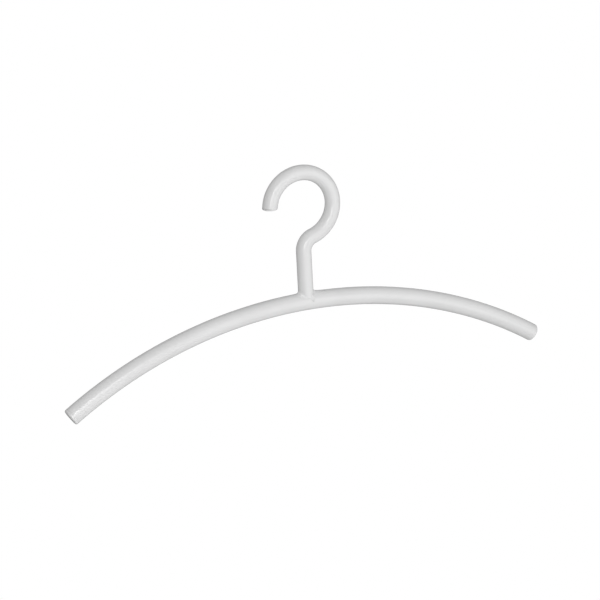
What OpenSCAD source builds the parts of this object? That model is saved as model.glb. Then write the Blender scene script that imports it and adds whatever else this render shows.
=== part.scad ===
// Clothes hanger: an arched round bow and a fixed question-mark hook, white sleeves over a steel core.
// The origin is the seat inside the top of the hook, where the hanger rests on a rail.
// X runs along the bow, Z points up, and every centreline lies in the X-Z plane.

/* [Bow] */
// Overall width across the two rounded ends
span = 450; // [400:5:480]
// Radius of the bow's centreline, one long flat arch
bow_r = 403; // [360:1:460]
// Outer diameter of the bow
bow_d = 15.5; // [15:0.1:17]

/* [Hook] */
// Outer diameter of the stem and hook
hook_d = 13.3; // [12.5:0.1:14.2]
// Radius of the round hook's centreline
hook_r = 29.3; // [26:0.1:36]
// Height of the hook's centre above the bow's centreline at its top
hook_h = 85; // [75:1:110]
// Centreline radius of the bend that carries the stem over to the hook
bend_r = 13; // [10:0.5:16]
// Angle by which the hook's tip stops short of pointing straight down
tip_back = 2; // [0:0.5:40]

/* [Neck] */
// Radius of the ball that shapes the white bead round the hook's foot
bead_r = 3; // [1:0.1:4]

/* [Ends] */
// Thickness of the discs on the bow's ends
bow_cap_t = 3; // [2.5:0.1:5]
// Radius of the rounded rim on the bow's ends
bow_rim = 1.5; // [0.5:0.1:2.2]
// Thickness of the disc on the hook's tip
hook_cap_t = 1.5; // [1.4:0.1:3]
// Radius of the rounded rim on the hook's tip
hook_rim = 1.1; // [0.5:0.1:1.3]
// Length of the plugs in the bow's steel tube
bow_plug = 12; // [6:1:20]
// Length of the plug in the hook's sleeve
hook_plug = 7; // [4:0.5:12]

/* [Core] */
// Outer diameter of the steel tube in the bow
core_d = 10; // [9.5:0.1:11]
// Wall of the steel tube
core_wall = 1.5; // [1:0.1:2]
// Diameter of the steel rod in the hook
rod_d = 7; // [6:0.1:7.2]
// Diameter of the rod's turned-down foot, which goes through the steel tube's wall
foot_d = 5; // [4:0.1:5.5]
// Radius of the ball that shapes the weld between rod and tube
weld_r = 1.2; // [0.8:0.1:1.3]

/* [Fits] */
// Room all round between a core or plug and the bore it sits in
fit = 0.1; // [0.05:0.01:0.2]
// Seam left between faces that are bonded together
seam = 0.02; // [0.01:0.01:0.05]

/* [Hidden] */

// Steps round a tube's section, and round a full turn of the hook's bends and of the bow's wide arch
tube_steps = 64;
bend_steps = 180;
arch_steps = 720;
// Steps round the neck for a bead, across its hollow face, and along its seat on the tube
ring_steps = 72;
hollow_steps = 8;
seat_steps = 3;

white = [0.93, 0.93, 0.92];
steel = [0.62, 0.63, 0.65];

// Heights: centre of the hook, top of the bow's centreline, and centre of the bow's arch
hook_z = hook_d / 2 - hook_r;
crown_z = hook_z - hook_h;
arch_z = crown_z - bow_r;

// Bend and hook curve opposite ways and meet tangent, so their centres are both radii apart.
// The angle at which they meet is a whole hundredth of a degree.
centres = hook_r + bend_r;
join_a = round(acos(bend_r / centres) * 100) / 100;
bend_z = hook_z - centres * sin(join_a);
// Angle by which the bend runs on into both neighbours, so that they are sure to be one: far below a micron
hair = 1e-10;

// Angle from the bow's middle at which its sleeve and core stop, so that the end discs span the width
rim_out = bow_r + bow_d / 2 - bow_rim;
rim_up = bow_cap_t + seam - bow_rim;
bow_a = asin((span / 2 - bow_rim) / norm([rim_out, rim_up])) - atan(rim_up / rim_out);
// Angle of the middle of the tip's face on the hook's circle, counted from +X towards +Z
tip_a = 180 - tip_back;
// Angle at which its plug starts, inside the sleeve
plug_a = tip_a - turn(hook_cap_t + hook_plug, hook_r);

rod_bore = rod_d + 2 * fit;
core_bore = core_d - 2 * core_wall;
sleeve_bore = core_d + 2 * fit;
// Round pocket in the bow's sleeve, which leaves room for the weld
pocket_d = rod_d + 2 * (weld_r + fit);

// Angle that a length takes up along an arc
function turn(length, r) = length / r * 180 / PI;

// Carries a section along an arc of radius r in the X-Z plane, from one angle to another
module sweep(r, from, to, steps) {
    rotate([90, 0, 0])
        rotate_extrude(angle = to - from, start = from, $fn = steps)
            translate([r, 0])
                children();
}

// Moves by v in two steps, whole hundredths and then the rest, so that tangent arcs meet to a millionth
module shift(v) {
    coarse = [for (x = v) round(x * 100) / 100];
    translate(coarse)
        translate(v - coarse)
            children();
}

// A section carried along the bow, between two angles from its middle
module along_bow(from, to) {
    translate([0, 0, arch_z])
        sweep(bow_r, 90 - to, 90 - from, arch_steps)
            children();
}

// A section carried up the stem from a height, round the bend and round the hook to an angle
module along_hook(from_z, to_a) {
    shift([0, 0, bend_z])
        mirror([0, 0, 1])
            linear_extrude(bend_z - from_z)
                children();
    shift([bend_r, 0, bend_z])
        sweep(bend_r, 180 - join_a - hair, 180 + hair, bend_steps)
            children();
    shift([bend_r - centres * cos(join_a), 0, hook_z])
        sweep(hook_r, -join_a, to_a, bend_steps)
            children();
}

module disc(d) {
    circle(d = d, $fn = tube_steps);
}

module ring(d, bore) {
    difference() {
        disc(d);
        disc(bore);
    }
}

// Round bar along the middle of the bow, as a tool that cuts what sits on it
module saddle(d) {
    along_bow(-turn(hook_d, bow_r), turn(hook_d, bow_r))
        disc(d);
}

// End disc of thickness t that stands on its seat, with its upper rim rounded
module end_disc(d, t, r) {
    rotate_extrude($fn = tube_steps) {
        square([d / 2 - r, t]);
        square([d / 2, t - r]);
        intersection() {
            translate([d / 2 - r, t - r])
                circle(r, $fn = tube_steps);
            square([d / 2, t]);
        }
    }
}

// Puts things at the seat of the tip's end disc, with Z pointing out of the tip
module at_tip_seat() {
    translate([0, 0, hook_z])
        rotate([0, -tip_a, 0])
            translate([hook_r, 0, -hook_cap_t])
                children();
}

// Height over the bow's top centreline of a point at x, y on a tube of radius r round that centreline
function over_bow(r, x, y) = sqrt(pow(bow_r + sqrt(r * r - y * y), 2) - x * x) - bow_r;

// Centre of a ball that touches both the upright rod and the tube, at angle a round the rod
function ball_at(rod, tube, ball, a) =
    let (x = (rod + ball) * cos(a), y = (rod + ball) * sin(a))
    [x, y, over_bow(tube + ball, x, y)];

// Point of the bow's centreline that lies nearest to p
function below(p) = let (r = norm([p.x, p.z + bow_r])) [p.x, 0, p.z + bow_r] * bow_r / r - [0, 0, bow_r];

// Unit vector a share t of the way round from u to v
function between(u, v, t) =
    let (a = acos(u * v))
    (u * sin((1 - t) * a) + v * sin(t * a)) / sin(a);

// One section of a bead: its hollow face from rod to tube, then its seat from the tube back to the rod
function bead_section(rod, tube, ball, a) =
    let (
        c = ball_at(rod, tube, ball, a),
        to_rod = [-cos(a), -sin(a), 0],
        to_tube = (below(c) - c) / (tube + ball),
        toe = c + ball * to_tube,
        corner = [rod * cos(a), rod * sin(a)]
    )
    concat(
        [for (i = [0 : hollow_steps]) c + ball * between(to_rod, to_tube, i / hollow_steps)],
        [for (i = [1 : seat_steps])
            let (t = i / seat_steps, x = toe.x + t * (corner.x - toe.x), y = toe.y + t * (corner.y - toe.y))
            [x, y, over_bow(tube, x, y)]]
    );

// The bead that a rolling ball leaves in the corner between an upright rod and the arched tube it stands on
module bead(rod, tube, ball) {
    n = hollow_steps + seat_steps + 1;
    points = [for (k = [0 : ring_steps - 1]) each bead_section(rod, tube, ball, k * 360 / ring_steps)];
    faces = [for (k = [0 : ring_steps - 1], i = [0 : n - 1])
        let (k2 = (k + 1) % ring_steps, i2 = (i + 1) % n)
        each [[k * n + i, k * n + i2, k2 * n + i2], [k * n + i, k2 * n + i2, k2 * n + i]]];
    translate([0, 0, crown_z])
        polyhedron(points, faces);
}

module bow_cover() {
    color(white)
        difference() {
            along_bow(-bow_a, bow_a)
                ring(bow_d, sleeve_bore);
            translate([0, 0, crown_z])
                cylinder(h = bow_d, d = pocket_d, $fn = tube_steps);
        }
}

module hook_cover() {
    color(white)
        difference() {
            along_hook(crown_z, tip_a)
                ring(hook_d, rod_bore);
            saddle(bow_d + 2 * seam);
            // The end is cut square to the tip's face
            at_tip_seat()
                translate([0, 0, -seam])
                    cylinder(h = hook_d, r = hook_d, $fn = tube_steps);
        }
}

module neck_bead() {
    color(white)
        bead(hook_d / 2 + seam, bow_d / 2 + seam, bead_r);
}

// Right-hand end disc of the bow, with its plug
module bow_cap() {
    translate([0, 0, arch_z])
        rotate([0, bow_a, 0])
            translate([seam, 0, bow_r])
                rotate([0, 90, 0])
                    end_disc(bow_d, bow_cap_t, bow_rim);
    along_bow(bow_a - turn(bow_plug, bow_r), bow_a + turn(bow_cap_t / 2, bow_r))
        disc(core_bore - 2 * fit);
}

module bow_cap_left() {
    color(white)
        mirror([1, 0, 0])
            bow_cap();
}

module bow_cap_right() {
    color(white)
        bow_cap();
}

module hook_cap() {
    color(white) {
        at_tip_seat()
            end_disc(hook_d, hook_cap_t, hook_rim);
        translate([0, 0, hook_z])
            sweep(hook_r, plug_a, tip_a - turn(hook_cap_t / 2, hook_r), bend_steps)
                disc(rod_d);
    }
}

module bow_core() {
    color(steel)
        difference() {
            along_bow(-bow_a, bow_a)
                ring(core_d, core_bore);
            translate([0, 0, crown_z])
                cylinder(h = core_d, d = foot_d + 2 * fit, $fn = tube_steps);
        }
}

module hook_core() {
    color(steel) {
        difference() {
            along_hook(crown_z, plug_a - turn(fit, hook_r))
                disc(rod_d);
            saddle(core_d + 2 * seam);
        }
        // The foot reaches across the steel tube's bore, just clear of its bottom
        translate([0, 0, crown_z + fit - core_bore / 2])
            cylinder(h = core_bore / 2 + core_d / 2, d = foot_d, $fn = tube_steps);
    }
}

module core_weld() {
    color(steel)
        bead(rod_d / 2 + seam, core_d / 2 + seam, weld_r);
}

bow_cover();
hook_cover();
neck_bead();
bow_cap_left();
bow_cap_right();
hook_cap();
bow_core();
hook_core();
core_weld();
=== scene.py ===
import math

import bpy
import numpy as np
from mathutils import Matrix, Vector


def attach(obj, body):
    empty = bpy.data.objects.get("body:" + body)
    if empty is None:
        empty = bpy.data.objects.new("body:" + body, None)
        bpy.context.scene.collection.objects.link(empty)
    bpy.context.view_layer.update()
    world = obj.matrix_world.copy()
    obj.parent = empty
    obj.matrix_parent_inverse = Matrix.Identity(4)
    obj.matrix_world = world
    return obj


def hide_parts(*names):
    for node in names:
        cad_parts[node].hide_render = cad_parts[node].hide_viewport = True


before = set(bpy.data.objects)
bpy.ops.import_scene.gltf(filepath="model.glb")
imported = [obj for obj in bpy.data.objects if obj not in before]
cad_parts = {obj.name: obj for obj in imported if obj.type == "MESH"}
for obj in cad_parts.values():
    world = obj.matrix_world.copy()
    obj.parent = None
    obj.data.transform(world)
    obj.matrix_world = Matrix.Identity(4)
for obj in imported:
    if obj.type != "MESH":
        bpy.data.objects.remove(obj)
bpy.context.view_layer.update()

print("frame loaded:", ", ".join(sorted(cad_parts)))

# Sizes in metres, as in the part's source. The origin is the seat inside the top of the hook.
hanger = {
    "span": 0.450,  # width across the two rounded ends
    "bowRadius": 0.403,  # of the bow's centreline
    "bowTube": 0.00775,  # half the bow's thickness
    "hookTube": 0.00665,  # half the hook's thickness
    "hookRadius": 0.0293,  # of the round hook's centreline
    "hookHeight": 0.085,  # from the top of the bow's centreline to the round hook's centre
    "bendRadius": 0.013,  # of the bend between the stem and the round hook
    "joinAngle": math.radians(72.10),  # the round hook starts this far below its right side
    "tipAngle": math.radians(178.0),  # and ends this far round from it, over the top
    "seam": 0.00002,  # left between bonded faces
}
hookZ = hanger["hookTube"] - hanger["hookRadius"]  # centre of the round hook
crownZ = hookZ - hanger["hookHeight"]  # top of the bow's centreline
arcZ = crownZ - hanger["bowRadius"]  # centre of the bow's arc
centres = hanger["hookRadius"] + hanger["bendRadius"]  # bend and round meet tangent, so both radii apart
bendZ = hookZ - centres * math.sin(hanger["joinAngle"])  # top of the straight stem
hookX = hanger["bendRadius"] - centres * math.cos(hanger["joinAngle"])  # centre of the round hook


# Shader maths: a wire is one socket, and sums on wires add Math nodes.
class Wire:
    def __init__(self, tree, socket=None):
        self.tree = tree
        self.socket = socket

    # Any node, from its type, its settings and the values or wires of its sockets.
    def node(self, kind, settings=None, sockets=None, out=0):
        made = self.tree.nodes.new(kind)
        for key, value in (settings or {}).items():
            setattr(made, key, value)
        for key, value in (sockets or {}).items():
            if isinstance(value, Wire):
                self.tree.links.new(value.socket, made.inputs[key])
            else:
                made.inputs[key].default_value = value
        return Wire(self.tree, made.outputs[out])

    def maths(self, operation, *values):
        return self.node("ShaderNodeMath", {"operation": operation}, dict(enumerate(values)))

    # Mix of two colours: the first where the share is 0, the second where it is 1.
    def mix(self, share, first, second):
        return self.node("ShaderNodeMix", {"data_type": "RGBA"}, {0: share, 6: first, 7: second}, out=2)

    # Share from 0 to 1 of this wire between two limits, without a hard edge.
    def softStep(self, low, high):
        limits = {"Value": self, "From Min": low, "From Max": high}
        return self.node("ShaderNodeMapRange", {"interpolation_type": "SMOOTHSTEP"}, limits)

    # Noise from 0 to 1 at this wire's place, with a number of blobs per metre and of finer layers on them.
    def noise(self, scale, detail):
        return self.node("ShaderNodeTexNoise", sockets={"Vector": self, "Scale": scale, "Detail": detail})

    # This wire's place, drawn out or pressed together along each axis.
    def stretch(self, scale):
        return self.node("ShaderNodeMapping", sockets={"Vector": self, "Scale": scale})

    def __add__(self, other):
        return self.maths("ADD", self, other)

    def __sub__(self, other):
        return self.maths("SUBTRACT", self, other)

    def __rsub__(self, other):
        return self.maths("SUBTRACT", other, self)

    def __mul__(self, other):
        return self.maths("MULTIPLY", self, other)

    __radd__ = __add__
    __rmul__ = __mul__


# A new material without nodes, and a wire to start its tree from.
def newMaterial(name):
    material = bpy.data.materials.new(name)
    material.use_nodes = True
    material.node_tree.nodes.clear()
    return material, Wire(material.node_tree)


# Joins a shader to the output of its tree, which is a material's or the world's.
def finishTree(shader, output="ShaderNodeOutputMaterial"):
    shader.tree.links.new(shader.socket, shader.tree.nodes.new(output).inputs["Surface"])


whitePlastic = {
    "colour": (0.83, 0.83, 0.83, 1),
    "shade": (0.805, 0.805, 0.805, 1),  # of the faintly greyer clouds in it
    "cloudScale": 26,  # blobs per metre, slow changes of tone
    "cloudDetail": 3.0,  # layers of finer noise on them
    "cloudFrom": 0.4,  # noise at which the clouds start
    "cloudTo": 0.7,  # and at which they are full
    "peelScale": 420,  # blobs per metre, orange peel
    "peelDetail": 1.0,
    "peelDepth": 0.0000016,
    "grainScale": 2600,  # blobs per metre, the finest unevenness
    "grainDetail": 2.0,
    "grainShare": 0.12,  # of the orange peel's depth
    "drawScale": 750,  # per metre across, fine lines drawn along a sleeve by its die
    "drawDetail": 2.0,
    "drawStretch": 0.006,  # along it
    "drawDepth": 0.000002,
    "roughness": 0.20,
    "cloudRough": 0.08,  # change of roughness with the clouds
    "grainRough": 0.05,  # and with the grain
    "ior": 1.5,
    "coat": 0.25,
    "coatRoughness": 0.12,
    "rubbed": 0.13,  # added roughness where the hook rides on the rail
    "rubFull": 0.0033,  # distance from the seat within which it is rubbed most
    "rubReach": 0.011,  # and beyond which it isn't
    "rubFrom": 0.42,  # grain at which a rubbed spot starts
    "rubTo": 0.6,
}


# Glossy white plastic. Tone: colour to shade by slow clouds. Roughness: a base value, plus a little of the
# clouds and the grain, plus rubbed spots near the hook's seat. Relief: orange peel with some grain, plus
# die lines, which follow each sleeve by its section attribute (two places across it, one along it).
def glossyWhite(look):
    material, wire = newMaterial("whitePlastic")
    place = wire.node("ShaderNodeTexCoord", out="Object")
    cloud = place.noise(look["cloudScale"], look["cloudDetail"])
    peel = place.noise(look["peelScale"], look["peelDetail"])
    grain = place.noise(look["grainScale"], look["grainDetail"])
    fromSeat = wire.node("ShaderNodeVectorMath", {"operation": "LENGTH"}, {0: place}, out="Value")
    rub = 1 - fromSeat.softStep(look["rubFull"], look["rubReach"])
    scuff = rub * grain.softStep(look["rubFrom"], look["rubTo"])
    tone = wire.mix(cloud.softStep(look["cloudFrom"], look["cloudTo"]), look["colour"], look["shade"])
    rough = look["roughness"] + (cloud - 0.5) * look["cloudRough"] + (grain - 0.5) * look["grainRough"]
    section = wire.node("ShaderNodeAttribute", {"attribute_name": "section"}, out="Vector")
    dieLines = section.stretch((1.0, 1.0, look["drawStretch"])).noise(look["drawScale"], look["drawDetail"])
    height = (peel + grain * look["grainShare"]) * look["peelDepth"] + dieLines * look["drawDepth"]
    skin = wire.node("ShaderNodeBump", sockets={"Strength": 1.0, "Distance": 1.0, "Height": height})
    finishTree(wire.node("ShaderNodeBsdfPrincipled", sockets={
        "Base Color": tone,
        "Roughness": rough + scuff * look["rubbed"],
        "IOR": look["ior"],
        "Coat Weight": look["coat"],
        "Coat Roughness": look["coatRoughness"],
        "Normal": skin,
    }))
    return material


drawnSteel = {
    "colour": (0.46, 0.47, 0.49, 1),
    "stain": (0.33, 0.32, 0.31, 1),
    "stainScale": 60,  # blobs per metre
    "stainDetail": 4.0,  # layers of finer noise on them
    "stainFrom": 0.5,  # noise at which a stain starts
    "stainTo": 0.75,
    "lineScale": 900,  # per metre across, fine lines left by drawing
    "lineDetail": 3.0,
    "lineStretch": 0.05,  # along the bow
    "lineDepth": 0.00002,
    "lineStrength": 0.6,
    "lineRough": 0.2,  # change of roughness with the lines
    "roughness": 0.34,
}


# Plain drawn steel, which the sleeves hide. Tone: colour to stain by slow noise. Roughness and relief:
# fine lines, which are noise drawn out along the bow.
def dullSteel(look):
    material, wire = newMaterial("drawnSteel")
    place = wire.node("ShaderNodeTexCoord", out="Object")
    lines = place.stretch((look["lineStretch"], 1.0, 1.0)).noise(look["lineScale"], look["lineDetail"])
    stain = place.noise(look["stainScale"], look["stainDetail"])
    tone = wire.mix(stain.softStep(look["stainFrom"], look["stainTo"]), look["colour"], look["stain"])
    skin = wire.node("ShaderNodeBump", sockets={
        "Strength": look["lineStrength"], "Distance": look["lineDepth"], "Height": lines})
    finishTree(wire.node("ShaderNodeBsdfPrincipled", sockets={
        "Base Color": tone,
        "Metallic": 1.0,
        "Roughness": look["roughness"] + (lines - 0.5) * look["lineRough"],
        "Normal": skin,
    }))
    return material


white = glossyWhite(whitePlastic)
steel = dullSteel(drawnSteel)
print("materials made")


# Puts a grid of points into a white piece that stands for one CAD node. The grid closes round its second
# parameter. Along its first it closes too, or ends in a middle point at each end. Faces point outwards:
# where the volume under them comes out negative, they are turned round. A section, where given, says for
# each point where it lies across and along its tube.
def gridPiece(name, grid, closed, node, section=None):
    along, around = grid.shape[:2]
    index = np.arange(along * around).reshape(along, around)
    beside = np.roll(index, -1, axis=1)
    after = np.roll(index, -1, axis=0)
    besideAfter = np.roll(beside, -1, axis=0)
    rows = slice(None) if closed else slice(0, -1)
    quads = np.stack([index[rows], beside[rows], besideAfter[rows], after[rows]], -1).reshape(-1, 4)
    points = grid.reshape(-1, 3)
    fans = np.zeros((0, 3), int)
    if not closed:
        points = np.vstack([points, grid[0].mean(0), grid[-1].mean(0)])
        first, last = len(points) - 2, len(points) - 1
        fans = np.vstack([
            np.stack([beside[0], index[0], np.full(around, first)], -1),
            np.stack([index[-1], beside[-1], np.full(around, last)], -1),
        ])
    corners = points[np.vstack([quads[:, [0, 1, 2]], quads[:, [0, 2, 3]], fans])]
    volume = np.einsum("ij,ij->i", corners[:, 0], np.cross(corners[:, 1], corners[:, 2])).sum()
    if volume < 0:
        quads, fans = quads[:, ::-1], fans[:, ::-1]
    mesh = bpy.data.meshes.new(name)
    mesh.from_pydata(points.tolist(), [], quads.tolist() + fans.tolist())
    mesh.polygons.foreach_set("use_smooth", np.ones(len(mesh.polygons), bool))
    mesh.materials.append(white)
    if section is not None:
        mesh.attributes.new("section", "FLOAT_VECTOR", "POINT").data.foreach_set("vector", section.ravel())
    mesh.update()
    piece = bpy.data.objects.new(name, mesh)
    bpy.context.scene.collection.objects.link(piece)
    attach(piece, "root")
    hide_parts(node)
    print(f"{name}: {len(mesh.polygons)} faces")


# Even steps round a full turn, in radians.
def fullTurn(steps):
    return np.linspace(0, 2 * math.pi, steps, endpoint=False)


tubeWaves = [  # share of the height, radians per metre along, waves round the tube, share of phase, start
    (1.0, 95, 1, 1.0, 0.0),
    (0.6, 211, -2, 1.7, 0.8),
    (0.35, 430, 3, 2.9, 2.1),
]


# Slow unevenness of a moulded tube, in metres: a sum of sine waves that run along it and turn round it.
def unevenness(along, turn, height, phase=0.0):
    waves = sum(
        share * np.sin(along * rate + rounds * turn + phaseShare * phase + start)
        for share, rate, rounds, phaseShare, start in tubeWaves
    )
    return height * waves / sum(wave[0] for wave in tubeWaves)


# Profile of a sleeve's wall: out along the outside, round the quarter circle of its lip, back along the
# bore, and round the other lip. Gives each point's place along the sleeve and its distance from the axis.
def sleeveProfile(length, outer, sleeve):
    lip = sleeve["lip"]
    turn = np.linspace(0, math.pi / 2, sleeve["lipSteps"] + 1)
    outX = np.linspace(lip, length - lip, sleeve["steps"] + 1)
    outR = np.full(sleeve["steps"] + 1, outer)
    endX = length - lip + lip * np.sin(turn[1:])
    endR = outer - lip + lip * np.cos(turn[1:])
    backX = np.linspace(length, 0, sleeve["boreSteps"] + 1)
    backR = np.full(sleeve["boreSteps"] + 1, sleeve["bore"])
    startX = lip - lip * np.cos(turn[:-1])
    startR = outer - lip + lip * np.sin(turn[:-1])
    return np.concatenate([outX, endX, backX, startX]), np.concatenate([outR, endR, backR, startR])


bowSleeve = {
    "bore": 0.0051,
    "lip": 0.00005,  # rounding of the sleeve's ends, where the discs meet them
    "lipSteps": 4,
    "steps": 520,
    "boreSteps": 90,
    "around": 112,
    "uneven": 0.00002,  # height of the slow waves
    "fade": 0.3,  # power with which they set in at both ends
}

bowDisc = {
    "thick": 0.003,
    "rim": 0.0015,  # rounding of its face
    "plug": 0.0034,  # radius of the plug in the steel tube
    "depth": 0.012,  # length of the plug
}


# Angle from the bow's middle at which its sleeve stops, so that the rounded discs reach the full span.
# The rim's centre lies half the span less the rim from the middle. Its distance from the arc's centre
# and its own angle to the sleeve's end give the rest.
def sleeveEnd():
    out = hanger["bowRadius"] + hanger["bowTube"] - bowDisc["rim"]
    up = bowDisc["thick"] + hanger["seam"] - bowDisc["rim"]
    return math.asin((hanger["span"] / 2 - bowDisc["rim"]) / math.hypot(out, up)) - math.atan(up / out)


bowEnd = sleeveEnd()


# Points at an angle from the bow's middle, at a distance from its centreline and a turn round it:
# the turn starts at the top and goes towards the back.
def onBow(angle, radius, turn):
    out = hanger["bowRadius"] + radius * np.cos(turn)
    return np.stack([out * np.sin(angle), radius * np.sin(turn), arcZ + out * np.cos(angle)], -1)


# The bow's sleeve: its profile carried round the arc. The unevenness fades out towards the ends, which
# stay true where the discs meet them, and leaves the bore alone.
def makeBowSleeve():
    length = 2 * bowEnd * hanger["bowRadius"]
    along, radius = sleeveProfile(length, hanger["bowTube"], bowSleeve)
    s, t = np.meshgrid(along, fullTurn(bowSleeve["around"]), indexing="ij")
    r = radius[:, None] + 0 * t
    fade = np.sin(np.clip(s / length, 0, 1) * math.pi) ** bowSleeve["fade"]
    r = r + np.where(r > bowSleeve["bore"], fade * unevenness(s, t, bowSleeve["uneven"]), 0)
    section = np.stack([r * np.cos(t), r * np.sin(t), s], -1)
    gridPiece("bowSleeve", onBow(s / hanger["bowRadius"] - bowEnd, r, t), True, "bow_cover", section)


bendLength = hanger["bendRadius"] * hanger["joinAngle"]
hookLength = bendZ - crownZ + bendLength + hanger["hookRadius"] * (hanger["joinAngle"] + hanger["tipAngle"])


# The hook's centreline at a length from the bow's crown: up the stem, round the bend, then round the hook.
# Gives x, z and the unit vector in the X-Z plane that points to the right of the way.
def hookLine(length):
    stem = bendZ - crownZ
    turnA = math.pi - (length - stem) / hanger["bendRadius"]
    turnB = -hanger["joinAngle"] + (length - stem - bendLength) / hanger["hookRadius"]
    onStem, onBend = length < stem, length < stem + bendLength
    x = np.where(onStem, 0, np.where(
        onBend, hanger["bendRadius"] * (1 + np.cos(turnA)), hookX + hanger["hookRadius"] * np.cos(turnB)))
    z = np.where(onStem, crownZ + length, np.where(
        onBend, bendZ + hanger["bendRadius"] * np.sin(turnA), hookZ + hanger["hookRadius"] * np.sin(turnB)))
    nx = np.where(onStem, 1, np.where(onBend, -np.cos(turnA), np.cos(turnB)))
    nz = np.where(onStem, 0, np.where(onBend, -np.sin(turnA), np.sin(turnB)))
    return x, z, nx, nz


# Points at a length along the hook, at a distance from its centreline and a turn round it:
# the turn starts on the right of the way and goes towards the back.
def onHook(length, radius, turn):
    x, z, nx, nz = hookLine(length)
    aside = radius * np.cos(turn)
    return np.stack([x + aside * nx, radius * np.sin(turn), z + aside * nz], -1)


# Height of the bow's top over the top of its centreline, at a place x along and y behind, for a tube of
# a radius: the tube's half height at y is added to the arc's radius, and that circle is read at x.
def overBow(radius, x, y):
    return np.sqrt((hanger["bowRadius"] + np.sqrt(radius**2 - y**2)) ** 2 - x**2) - hanger["bowRadius"]


hookSleeve = {
    "bore": 0.0036,
    "lip": 0.00005,
    "lipSteps": 4,
    "steps": 420,
    "boreSteps": 140,
    "around": 104,
    "uneven": 0.000016,
    "fade": 40,  # how quickly the unevenness sets in at both ends
    "phase": 1.3,  # of the unevenness, so that it differs from the bow's
    "sectionStart": 1.0,  # metres on, so that its die lines differ from the bow's
}

hookDisc = {
    "thick": 0.0015,
    "rim": 0.0011,
    "plug": 0.0035,  # radius of the plug in the sleeve
    "depth": 0.007,
}


# The hook's sleeve: its profile carried along the hook. It starts where the stem's wall meets the top of
# the bow, so its start depends on the turn, and the profile's lengths are shared out between start and tip.
def makeHookSleeve():
    tipLength = hookLength - hookDisc["thick"] - hanger["seam"]
    along, radius = sleeveProfile(tipLength, hanger["hookTube"], hookSleeve)
    share, t = np.meshgrid(along / tipLength, fullTurn(hookSleeve["around"]), indexing="ij")
    r = radius[:, None] + 0 * t
    foot = overBow(hanger["bowTube"] + hanger["seam"], r * np.cos(t), r * np.sin(t))
    s = foot + share * (tipLength - foot)
    fade = np.clip(share * (1 - share) * hookSleeve["fade"], 0, 1)
    waves = unevenness(s, t, hookSleeve["uneven"], hookSleeve["phase"])
    r = r + np.where(r > hookSleeve["bore"], fade * waves, 0)
    section = np.stack([r * np.cos(t), r * np.sin(t), s + hookSleeve["sectionStart"]], -1)
    gridPiece("hookSleeve", onHook(s, r, t), True, "hook_cover", section)


makeBowSleeve()
makeHookSleeve()
print("sleeves made")


# Turns are in radians from the right towards the back, so that -1.57 is the front.
neckBead = {
    "ball": 0.0030,  # radius of the ball that rolls round the corner
    "uneven": 0.14,  # how much that radius changes on the way round, as a share
    "wider": 0.12,  # how much larger it is on the left, and smaller on the right, as a share
    "around": 240,
    "faceSteps": 28,
    "skirtSteps": 8,
    "seatSteps": 5,
    "thin": 0.00003,  # thickness of the skirt where nothing ran out on to the bow
    "short": 0.00012,  # and how far it reaches there
    "thinning": 1.5,  # power with which the skirt thins on the way out
    "lumpFade": 0.7,  # power with which the lumps fade at the edges of the hollow face
    "runs": [  # turn, width, thickness and reach of what ran out on to the bow
        (0.0, 0.55, 0.00062, 0.0080),
        (-2.75, 0.45, 0.00020, 0.0016),
        (-1.35, 0.30, 0.00012, 0.0003),
        (-1.15, 0.16, 0.00085, 0.0008),
    ],
    "lumps": [  # turn, place from stem (0) to bow (1), width in each, height in metres
        (-2.35, 0.62, 0.30, 0.20, 0.00028),
        (-1.15, 0.70, 0.16, 0.30, 0.00050),
        (-1.55, 0.84, 0.10, 0.12, -0.00060),
        (-0.90, 0.28, 0.11, 0.15, 0.00045),
        (-1.02, 0.88, 0.10, 0.12, -0.00028),
        (-0.35, 0.55, 0.25, 0.30, 0.00022),
        (0.55, 0.50, 0.35, 0.35, 0.00024),
        (1.85, 0.60, 0.40, 0.35, 0.00028),
        (2.80, 0.45, 0.22, 0.30, -0.00022),
    ],
    "waves": [  # share, waves round the neck, start
        (1.0, 2, 0.6),
        (0.7, 5, 2.0),
        (0.4, 9, 4.1),
    ],
}


# How far a turn lies from another, between minus and plus half a round.
def apart(turn, other):
    return (turn - other + math.pi) % (2 * math.pi) - math.pi


# Radius of the ball at each turn: the mean one, changed by a sum of sine waves, and larger on the left.
def ballRadius(turn):
    waves = sum(share * np.sin(count * turn + start) for share, count, start in neckBead["waves"])
    waves = waves / sum(wave[0] for wave in neckBead["waves"])
    return neckBead["ball"] * (1 + neckBead["uneven"] * waves - neckBead["wider"] * np.cos(turn))


# Thickness and reach of the skirt at each turn: the least ones, plus a bell curve for each run.
def runOut(turn):
    thick, reach = neckBead["thin"] + 0 * turn, neckBead["short"] + 0 * turn
    for at, wide, height, run in neckBead["runs"]:
        share = np.exp(-(apart(turn, at) / wide) ** 2)
        thick, reach = thick + height * share, reach + run * share
    return thick, reach


# Height of the lumps over the hollow face: a bell curve for each, fading out at both edges of the face,
# which stay on stem and bow.
def lumpHeight(turn, share):
    height = 0
    for at, place, wide, deep, top in neckBead["lumps"]:
        height = height + top * np.exp(-(apart(turn, at) / wide) ** 2 - ((share - place) / deep) ** 2)
    return height * np.sin(share * math.pi) ** neckBead["lumpFade"]


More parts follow.
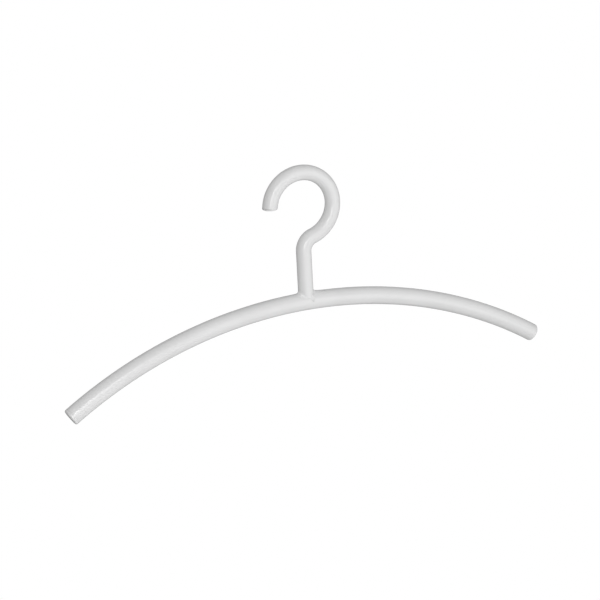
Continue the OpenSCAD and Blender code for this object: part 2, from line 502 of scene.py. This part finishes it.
# Hollow face of the bead. A ball touches the stem and a tube a little thicker than the bow. The face is
# the arc of the ball from the one contact to the other, with directions turned evenly between the two.
def beadFace(turn, rod, tube, ball):
    x, y = (rod + ball) * np.cos(turn), (rod + ball) * np.sin(turn)
    centre = np.stack([x, y, overBow(tube + ball, x, y)], -1)
    toRod = np.stack([-np.cos(turn), -np.sin(turn), 0 * turn], -1)
    fromArc = np.stack([x, 0 * turn, centre[:, 2] + hanger["bowRadius"]], -1)
    below = fromArc * hanger["bowRadius"] / np.linalg.norm(fromArc, axis=1, keepdims=True)
    below[:, 2] -= hanger["bowRadius"]  # nearest point of the bow's centreline
    toTube = (below - centre) / (tube + ball)[:, None]
    between = np.arccos(np.clip((toRod * toTube).sum(1), -1, 1))[:, None, None]
    share = np.linspace(0, 1, neckBead["faceSteps"] + 1)[None, :, None]
    way = toRod[:, None] * np.sin((1 - share) * between) + toTube[:, None] * np.sin(share * between)
    depth = ball[:, None] - lumpHeight(turn[:, None], share[..., 0])
    return centre[:, None] + depth[..., None] * way / np.sin(between)


# The whole bead: the hollow face from stem to bow, a skirt that ran out on to the bow and thins to
# nothing, and a seat along the bow back to the stem.
def makeNeckBead():
    rod, tube = hanger["hookTube"] + hanger["seam"], hanger["bowTube"] + hanger["seam"]
    turn = fullTurn(neckBead["around"])
    thick, reach = runOut(turn)
    face = beadFace(turn, rod, tube + thick, ballRadius(turn))
    out = np.linspace(0, 1, neckBead["skirtSteps"] + 1)[None, 1:]
    skirtX = face[:, -1, :1] + out * (reach * np.cos(turn))[:, None]
    skirtY = face[:, -1, 1:2] + out * (reach * np.sin(turn))[:, None]
    skirtZ = overBow(tube + thick[:, None] * (1 - out) ** neckBead["thinning"], skirtX, skirtY)
    back = np.linspace(0, 1, neckBead["seatSteps"] + 1)[None, 1:]
    seatX = skirtX[:, -1:] + back * (rod * np.cos(turn) - skirtX[:, -1])[:, None]
    seatY = skirtY[:, -1:] + back * (rod * np.sin(turn) - skirtY[:, -1])[:, None]
    seatZ = overBow(tube, seatX, seatY)
    skirt, seat = np.stack([skirtX, skirtY, skirtZ], -1), np.stack([seatX, seatY, seatZ], -1)
    rings = np.concatenate([face, skirt, seat], axis=1) + (0, 0, crownZ)
    gridPiece("neckBead", rings.transpose(1, 0, 2), True, "neck_bead")


makeNeckBead()
print("neck bead made")


endDiscs = {  # what all three have in common
    "around": 104,
    "crown": 0.00006,  # the face is a hair fuller in its middle
    "innermost": 0.05,  # first ring round the face's middle, as a share of the disc's radius
    "lip": 0.00005,  # bevel of the back edge, against the sleeve's end
    "lipKink": 0.00002,  # where the bevel turns
    "backRing": 0.8,  # a ring on the back, as a share of the disc's radius
    "root": 0.0002,  # rounding where the plug starts
    "rootWider": 1.05,  # and how much wider it is there, as a share of the plug's radius
    "tip": 0.00012,  # bevel at the plug's end
    "tipNarrower": 0.93,  # and what it leaves of the plug's radius
    "faceSteps": 12,
    "rimSteps": 13,
    "sideSteps": 6,
    "plugSteps": 14,
}


# Profile of an end disc with its plug, from the middle of its face: out over the crowned face, round the
# quarter circle of the rim, down its side, in along its back, and down the plug to its end. Gives each
# point's distance out of the seat and from the axis.
def discProfile(outer, disc):
    thick, rim, plug, depth = disc["thick"], disc["rim"], disc["plug"], disc["depth"]
    lip = endDiscs["lip"]
    bend = np.linspace(0, math.pi / 2, endDiscs["rimSteps"])
    faceR = np.linspace(outer * endDiscs["innermost"], outer - rim, endDiscs["faceSteps"])[:-1]
    faceX = thick + endDiscs["crown"] * (1 - (faceR / (outer - rim)) ** 2)
    rimX, rimR = thick - rim + rim * np.cos(bend), outer - rim + rim * np.sin(bend)
    sideX = np.linspace(thick - rim, lip, endDiscs["sideSteps"])[1:]
    bevel = np.array([endDiscs["lipKink"], lip])
    backR = [outer * endDiscs["backRing"], plug * endDiscs["rootWider"]]
    plugX = -np.linspace(endDiscs["root"], depth, endDiscs["plugSteps"])
    tipX, tipR = [-depth - endDiscs["tip"]], [plug * endDiscs["tipNarrower"]]
    x = np.concatenate([faceX, rimX, sideX, lip - bevel, [0, 0], plugX, tipX])
    r = np.concatenate([faceR, rimR, 0 * sideX + outer, outer - bevel, backR, 0 * plugX + plug, tipR])
    return x, r


# End disc of the bow, on the right, or mirrored to the left where the side is -1. The disc stands square
# on the sleeve's end, and the plug follows the bow's arc.
def makeBowDisc(name, node, side):
    x, r = discProfile(hanger["bowTube"], bowDisc)
    s, t = np.meshgrid(x, fullTurn(endDiscs["around"]), indexing="ij")
    out = s + hanger["seam"]
    grid = onBow(bowEnd + np.minimum(out, 0) / hanger["bowRadius"], r[:, None], t)
    grid[..., 0] += np.maximum(out, 0) * math.cos(bowEnd)
    grid[..., 2] -= np.maximum(out, 0) * math.sin(bowEnd)
    grid[..., 0] *= side
    gridPiece(name, grid, False, node)


# End disc of the hook's tip. The disc stands square to the end of the hook's round, which its face meets,
# and the plug follows the round.
def makeHookDisc():
    x, r = discProfile(hanger["hookTube"], hookDisc)
    s, t = np.meshgrid(x, fullTurn(endDiscs["around"]), indexing="ij")
    inPlug = s < 0
    length = hookLength + np.where(inPlug, s - hookDisc["thick"], 0)
    grid = onHook(length, r[:, None], t)
    straight = np.where(inPlug, 0, s - hookDisc["thick"])
    grid[..., 0] -= straight * math.sin(hanger["tipAngle"])
    grid[..., 2] += straight * math.cos(hanger["tipAngle"])
    gridPiece("hookDisc", grid, False, "hook_cap")


makeBowDisc("bowDiscLeft", "bow_cap_left", -1)
makeBowDisc("bowDiscRight", "bow_cap_right", 1)
makeHookDisc()
print("end discs made")

for name in ("bow_core", "hook_core", "core_weld"):
    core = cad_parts[name]
    core.data.materials.clear()
    core.data.materials.append(steel)
print("steel core painted")


# Camera, from a fit of the hanger's outline to the photo: its place and its right, up and back directions.
view = {
    "place": (-0.844595, -1.954717, 0.512245),
    "right": (0.912009, -0.407124, -0.049898),
    "up": (0.157616, 0.235544, 0.958998),
    "back": (-0.378678, -0.882479, 0.278987),
    "lens": 153.644,  # millimetres
    "sensor": 36,
    "farthest": 200,  # metres, well beyond the floor's edge
}


# An object placed in the scene with its own right, up and back directions.
def placeFacing(name, data, place, right, up, back):
    placed = bpy.data.objects.new(name, data)
    bpy.context.scene.collection.objects.link(placed)
    placed.matrix_world = Matrix.Translation(place) @ Matrix((right, up, back)).transposed().to_4x4()
    return placed


# The camera, with the lens that the fit gave.
def makeCamera():
    data = bpy.data.cameras.new("camera")
    data.lens, data.sensor_width, data.clip_end = view["lens"], view["sensor"], view["farthest"]
    camera = placeFacing("camera", data, view["place"], view["right"], view["up"], view["back"])
    bpy.context.scene.camera = camera


makeCamera()
print("camera made")


studio = {
    "floorZ": -2.4,  # of the floor, well below the hanger
    "floorReach": 60.0,  # from its middle to its edge
    "paper": (1.0, 1.0, 1.0, 1),
    "middle": (0, 0, -0.09),  # what the lights face
    "around": (0.41, 0.41, 0.41, 1),  # the grey room
    "inGloss": (0.24, 0.24, 0.24, 1),  # the same as the hanger's gloss shows it
    "unseen": "rear",  # this light would draw bright rims on the gloss of the front
    "lights": [  # name, way to it (right, up, to the camera), distance, width, height, power, shape
        ("wide", (0.5, -0.25, 0.83), 2.6, 3.4, 3.4, 21.7, "ELLIPSE"),
        ("box", (0.12, -0.02, 0.993), 1.43, 0.44, 0.66, 0.7, "RECTANGLE"),
        ("strip", (-0.03, -0.07, 0.997), 1.04, 0.09, 0.55, 1.2, "RECTANGLE"),
        ("second", (0.2, -0.1, 0.975), 1.04, 0.2, 0.8, 0.74, "RECTANGLE"),
        ("side", (0.95, 0.0, 0.312), 2.6, 2.6, 2.6, 8.4, "ELLIPSE"),
        ("low", (0.651, -0.651, -0.39), 2.6, 2.6, 2.6, 5.2, "ELLIPSE"),
        ("high", (0.6, 0.5, 0.625), 1.43, 1.43, 1.43, 0.86, "ELLIPSE"),
        ("behind", (-0.707, 0.707, 0.0), 2.6, 2.6, 2.6, 4.7, "ELLIPSE"),
        ("rear", (0.15, 0.12, -0.98), 2.6, 0.9, 1.8, 18.0, "RECTANGLE"),
    ],
}


# Pale paper floor that only the camera sees, so that it neither lights the hanger nor shows in its gloss.
def makeFloor():
    half = studio["floorReach"]
    corners = [(-half, -half), (half, -half), (half, half), (-half, half)]
    mesh = bpy.data.meshes.new("floor")
    mesh.from_pydata([(x, y, studio["floorZ"]) for x, y in corners], [], [(0, 1, 2, 3)])
    material, wire = newMaterial("paper")
    finishTree(wire.node("ShaderNodeEmission", sockets={"Color": studio["paper"], "Strength": 1.0}))
    mesh.materials.append(material)
    floor = bpy.data.objects.new("floor", mesh)
    bpy.context.scene.collection.objects.link(floor)
    floor.visible_diffuse = floor.visible_glossy = floor.visible_shadow = False


# Soft lights, each facing the hanger's middle and standing upright as the camera sees it.
def makeLights():
    right, up, back = Vector(view["right"]), Vector(view["up"]), Vector(view["back"])
    for name, way, distance, width, height, power, shape in studio["lights"]:
        lamp = bpy.data.lights.new(name, "AREA")
        lamp.shape, lamp.size, lamp.size_y, lamp.energy = shape, width, height, power
        toLight = (right * way[0] + up * way[1] + back * way[2]).normalized()
        across = up.cross(toLight).normalized()
        place = Vector(studio["middle"]) + toLight * distance
        light = placeFacing(name, lamp, place, across, toLight.cross(across), toLight)
        light.visible_camera = False
        light.visible_glossy = name != studio["unseen"]


# The room: grey as light, a darker grey where the gloss shows it, and pale paper to the camera.
def makeRoom():
    world = bpy.data.worlds.new("room")
    world.use_nodes = True
    world.node_tree.nodes.clear()
    wire = Wire(world.node_tree)
    fromGloss = wire.node("ShaderNodeLightPath", out="Is Glossy Ray")
    fromCamera = wire.node("ShaderNodeLightPath", out="Is Camera Ray")
    tone = wire.mix(fromCamera, wire.mix(fromGloss, studio["around"], studio["inGloss"]), studio["paper"])
    glow = wire.node("ShaderNodeBackground", sockets={"Color": tone, "Strength": 1.0})
    finishTree(glow, "ShaderNodeOutputWorld")
    bpy.context.scene.world = world
    bpy.context.scene.view_settings.view_transform = "Standard"


makeFloor()
makeLights()
makeRoom()
print("studio made")
